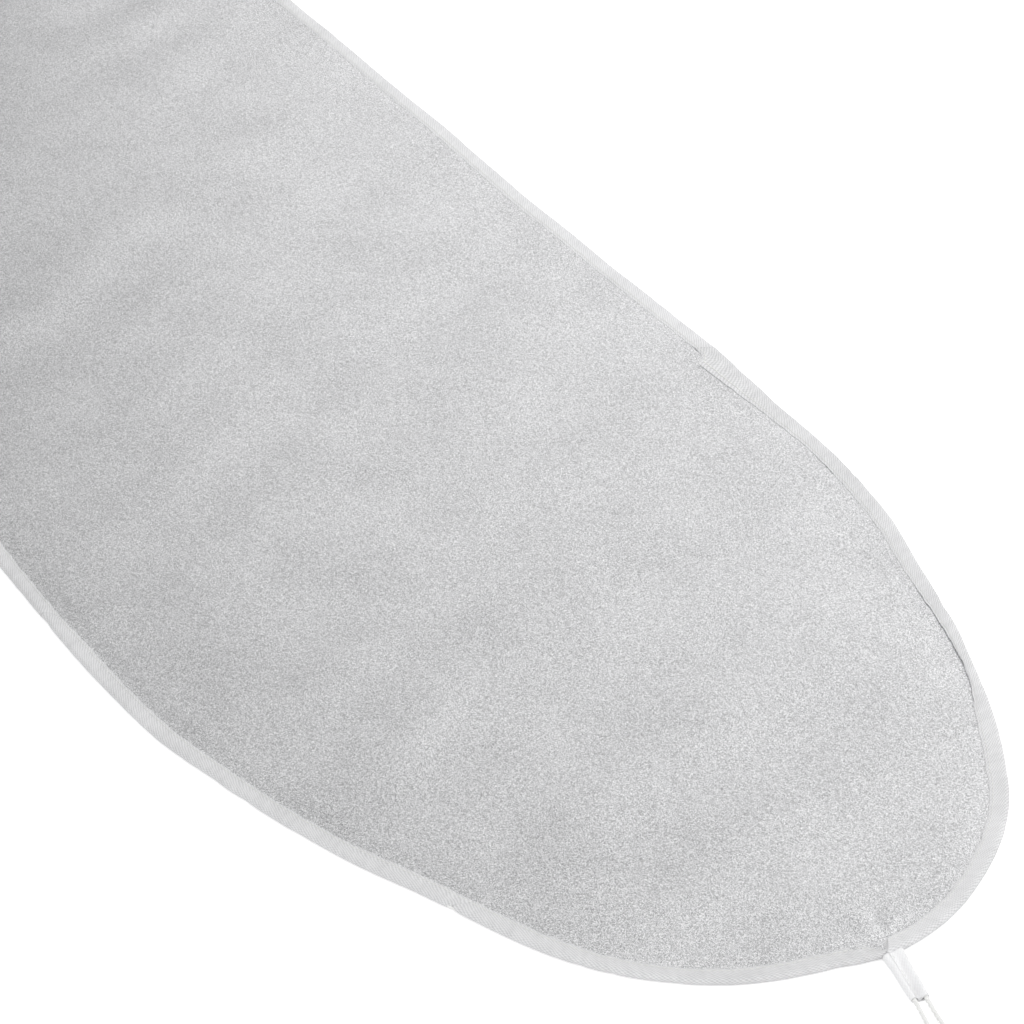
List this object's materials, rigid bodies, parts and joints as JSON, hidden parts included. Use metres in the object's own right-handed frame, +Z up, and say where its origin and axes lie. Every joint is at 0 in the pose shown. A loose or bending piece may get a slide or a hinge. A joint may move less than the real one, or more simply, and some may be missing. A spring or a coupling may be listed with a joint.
{
  "type": "ironing board cover",
  "caption": "Flat ironing board cover with a rounded nose: metallised cloth over thin foam, a bias-tape binding round the edge and a drawstring that leaves through a tab at the nose.",
  "frame": {"origin": "middle of the foam's underside, halfway between the nose tip and the tail end, on the surface that the cover lies on", "axes": "+X along the cover to the nose, +Y across the cover, +Z up out of the metallised face"},
  "size_m": [1.428, 0.48, 0.0046],
  "materials": {
    "metallised_cotton": "aluminium-coated cotton, fine sparkle",
    "foam": "open-cell polyurethane foam, matt",
    "bias_tape": "off-white woven bias tape, matt",
    "sewing_thread": "white polyester thread, satin",
    "cord": "white twisted cotton cord, matt",
    "tie": "white plastic-coated twist tie"
  },
  "bodies": {
    "cover": {"top_cloth": "metallised_cotton", "foam_layer": "foam", "binding_nose_right": "bias_tape", "binding_side_right": "bias_tape", "binding_tail": "bias_tape", "binding_side_left": "bias_tape", "binding_flank_left": "bias_tape", "binding_nose_left": "bias_tape", "needle_thread": "sewing_thread", "bobbin_thread": "sewing_thread", "drawstring": "cord", "nose_tab": "bias_tape", "tab_thread": "sewing_thread"},
    "drawstring_ends": {"tab_cord_right": "cord", "tab_cord_left": "cord", "tail_right": "cord", "tail_left": "cord", "coil_right": "cord", "coil_left": "cord", "knot_right": "cord", "knot_left": "cord", "coil_tie_right": "tie", "coil_tie_left": "tie"}
  },
  "joints": [
    {"name": "drawstring_pull", "type": "slide", "parent": "cover", "child": "drawstring_ends", "axis": [0.9744, -0.225, 0], "range_m": [0, 0.022]}
  ]
}
